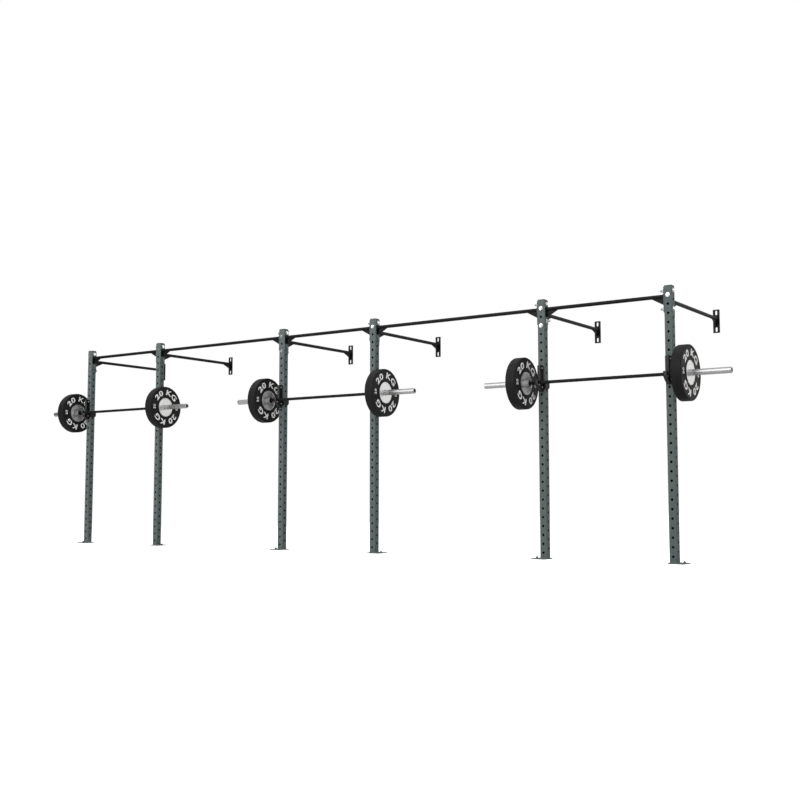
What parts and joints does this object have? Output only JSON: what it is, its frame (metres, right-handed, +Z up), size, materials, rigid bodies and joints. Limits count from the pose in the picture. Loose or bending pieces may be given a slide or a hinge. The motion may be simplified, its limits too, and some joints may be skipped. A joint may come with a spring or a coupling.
{
  "type": "wall-mounted training rig",
  "caption": "Row of perforated uprights tied to a wall by arms, with pull-up bars between them and loaded barbells racked in cups.",
  "frame": {"origin": "on the floor, under the middle of the whole rig's box, between the row of uprights and the wall", "axes": "+X along the row of uprights, +Y towards the wall, +Z up"},
  "size_m": [8.11, 1.443, 2.2333],
  "materials": {
    "upright_paint": "satin grey powder coat",
    "black_paint": "satin black powder coat",
    "cap_plastic": "matt black",
    "core_plastic": "matt black machined plastic",
    "shaft_steel": "dark oxide, knurled",
    "sleeve_chrome": "bright",
    "bumper_rubber": "matt black",
    "hub_steel": "zinc plated"
  },
  "bodies": {
    "rig": {"upright_1": "upright_paint", "end_cap_1": "cap_plastic", "wall_arm_1": "black_paint", "cup_frame_1": "black_paint", "cup_core_1": "core_plastic", "upright_2": "upright_paint", "end_cap_2": "cap_plastic", "wall_arm_2": "black_paint", "cup_frame_2": "black_paint", "cup_core_2": "core_plastic", "upright_3": "upright_paint", "end_cap_3": "cap_plastic", "wall_arm_3": "black_paint", "cup_frame_3": "black_paint", "cup_core_3": "core_plastic", "upright_4": "upright_paint", "end_cap_4": "cap_plastic", "wall_arm_4": "black_paint", "cup_frame_4": "black_paint", "cup_core_4": "core_plastic", "upright_5": "upright_paint", "end_cap_5": "cap_plastic", "wall_arm_5": "black_paint", "cup_frame_5": "black_paint", "cup_core_5": "core_plastic", "upright_6": "upright_paint", "end_cap_6": "cap_plastic", "wall_arm_6": "black_paint", "cup_frame_6": "black_paint", "cup_core_6": "core_plastic", "pull_up_bar_1": "black_paint", "pull_up_bar_2": "black_paint", "pull_up_bar_3": "black_paint", "pull_up_bar_4": "black_paint", "pull_up_bar_5": "black_paint"},
    "barbell_1": {"barbell_shaft_1": "shaft_steel"},
    "sleeve_1_left": {"sleeve_1_left": "sleeve_chrome"},
    "bumper_1_left": {"bumper_rubber_1_left": "bumper_rubber", "bumper_hub_1_left": "hub_steel"},
    "sleeve_1_right": {"sleeve_1_right": "sleeve_chrome"},
    "bumper_1_right": {"bumper_rubber_1_right": "bumper_rubber", "bumper_hub_1_right": "hub_steel"},
    "barbell_2": {"barbell_shaft_2": "shaft_steel"},
    "sleeve_2_left": {"sleeve_2_left": "sleeve_chrome"},
    "bumper_2_left": {"bumper_rubber_2_left": "bumper_rubber", "bumper_hub_2_left": "hub_steel"},
    "sleeve_2_right": {"sleeve_2_right": "sleeve_chrome"},
    "bumper_2_right": {"bumper_rubber_2_right": "bumper_rubber", "bumper_hub_2_right": "hub_steel"},
    "barbell_3": {"barbell_shaft_3": "shaft_steel"},
    "sleeve_3_left": {"sleeve_3_left": "sleeve_chrome"},
    "bumper_3_left": {"bumper_rubber_3_left": "bumper_rubber", "bumper_hub_3_left": "hub_steel"},
    "sleeve_3_right": {"sleeve_3_right": "sleeve_chrome"},
    "bumper_3_right": {"bumper_rubber_3_right": "bumper_rubber", "bumper_hub_3_right": "hub_steel"}
  },
  "joints": [
    {"name": "barbell_1_lift", "type": "slide", "parent": "rig", "child": "barbell_1", "axis": [0, 0, 1], "range_m": [0, 0.25]},
    {"name": "sleeve_1_left_spin", "type": "hinge", "parent": "barbell_1", "child": "sleeve_1_left", "pos_m": [-2.955, -0.4965, 1.5035], "axis": [1, 0, 0], "continuous": true},
    {"name": "bumper_1_left_slide", "type": "slide", "parent": "sleeve_1_left", "child": "bumper_1_left", "axis": [-1, 0, 0], "range_m": [0, 0.3]},
    {"name": "sleeve_1_right_spin", "type": "hinge", "parent": "barbell_1", "child": "sleeve_1_right", "pos_m": [-2.955, -0.4965, 1.5035], "axis": [1, 0, 0], "continuous": true},
    {"name": "bumper_1_right_slide", "type": "slide", "parent": "sleeve_1_right", "child": "bumper_1_right", "axis": [1, 0, 0], "range_m": [0, 0.3]},
    {"name": "barbell_2_lift", "type": "slide", "parent": "rig", "child": "barbell_2", "axis": [0, 0, 1], "range_m": [0, 0.25]},
    {"name": "sleeve_2_left_spin", "type": "hinge", "parent": "barbell_2", "child": "sleeve_2_left", "pos_m": [0, -0.4965, 1.5035], "axis": [1, 0, 0], "continuous": true},
    {"name": "bumper_2_left_slide", "type": "slide", "parent": "sleeve_2_left", "child": "bumper_2_left", "axis": [-1, 0, 0], "range_m": [0, 0.3]},
    {"name": "sleeve_2_right_spin", "type": "hinge", "parent": "barbell_2", "child": "sleeve_2_right", "pos_m": [0, -0.4965, 1.5035], "axis": [1, 0, 0], "continuous": true},
    {"name": "bumper_2_right_slide", "type": "slide", "parent": "sleeve_2_right", "child": "bumper_2_right", "axis": [1, 0, 0], "range_m": [0, 0.3]},
    {"name": "barbell_3_lift", "type": "slide", "parent": "rig", "child": "barbell_3", "axis": [0, 0, 1], "range_m": [0, 0.25]},
    {"name": "sleeve_3_left_spin", "type": "hinge", "parent": "barbell_3", "child": "sleeve_3_left", "pos_m": [2.955, -0.4965, 1.5035], "axis": [1, 0, 0], "continuous": true},
    {"name": "bumper_3_left_slide", "type": "slide", "parent": "sleeve_3_left", "child": "bumper_3_left", "axis": [-1, 0, 0], "range_m": [0, 0.3]},
    {"name": "sleeve_3_right_spin", "type": "hinge", "parent": "barbell_3", "child": "sleeve_3_right", "pos_m": [2.955, -0.4965, 1.5035], "axis": [1, 0, 0], "continuous": true},
    {"name": "bumper_3_right_slide", "type": "slide", "parent": "sleeve_3_right", "child": "bumper_3_right", "axis": [1, 0, 0], "range_m": [0, 0.3]}
  ]
}
